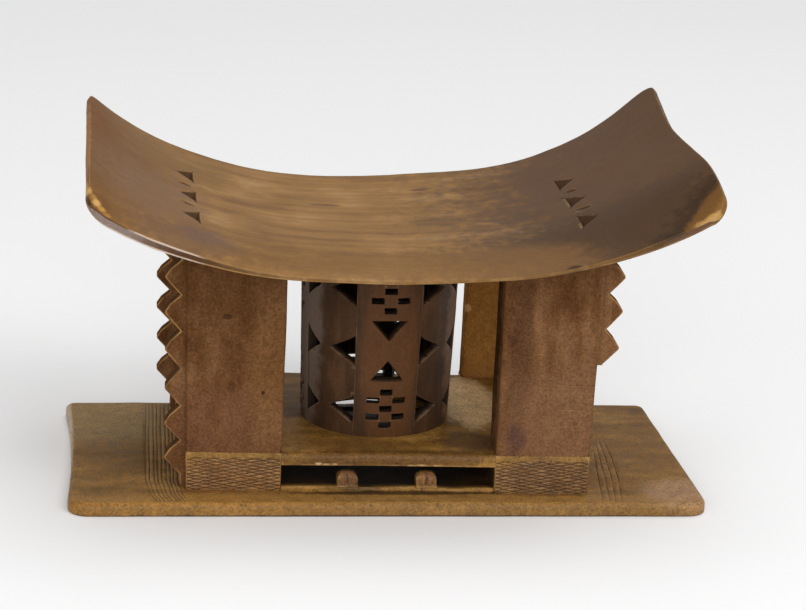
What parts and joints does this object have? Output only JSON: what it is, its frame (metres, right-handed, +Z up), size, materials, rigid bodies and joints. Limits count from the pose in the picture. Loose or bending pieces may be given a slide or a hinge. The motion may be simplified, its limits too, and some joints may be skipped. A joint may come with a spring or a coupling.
{
  "type": "carved stool",
  "caption": "Low carved wooden stool with a long seat curved up at both ends, toothed slab legs, a pierced hollow column and a flat base plate.",
  "frame": {"origin": "on the floor, under the middle of the base plate", "axes": "+X along the length to the right seen from the front, +Y to the back, +Z up"},
  "size_m": [0.5011, 0.272, 0.2958],
  "materials": {
    "base_wood": "worn patina, ochre brown",
    "leg_wood": "worn patina, red brown",
    "column_wood": "worn patina, dark brown",
    "seat_wood": "hand-worn satin, ochre brown"
  },
  "bodies": {
    "root": {"base_plate": "base_wood", "left_plinth": "base_wood", "right_plinth": "base_wood", "deck": "base_wood", "front_slot_knobs": "base_wood", "back_slot_knobs": "base_wood", "front_left_leg": "leg_wood", "front_right_leg": "leg_wood", "back_left_leg": "leg_wood", "back_right_leg": "leg_wood", "front_left_fin": "leg_wood", "front_right_fin": "leg_wood", "back_left_fin": "leg_wood", "back_right_fin": "leg_wood", "column_front_band": "column_wood", "column_right_band": "column_wood", "column_back_band": "column_wood", "column_left_band": "column_wood", "column_front_right_disc_1": "column_wood", "column_front_right_disc_2": "column_wood", "column_front_right_disc_3": "column_wood", "column_front_right_disc_4": "column_wood", "column_back_right_disc_1": "column_wood", "column_back_right_disc_2": "column_wood", "column_back_right_disc_3": "column_wood", "column_back_right_disc_4": "column_wood", "column_back_left_disc_1": "column_wood", "column_back_left_disc_2": "column_wood", "column_back_left_disc_3": "column_wood", "column_back_left_disc_4": "column_wood", "column_front_left_disc_1": "column_wood", "column_front_left_disc_2": "column_wood", "column_front_left_disc_3": "column_wood", "column_front_left_disc_4": "column_wood", "seat": "seat_wood"}
  },
  "joints": []
}
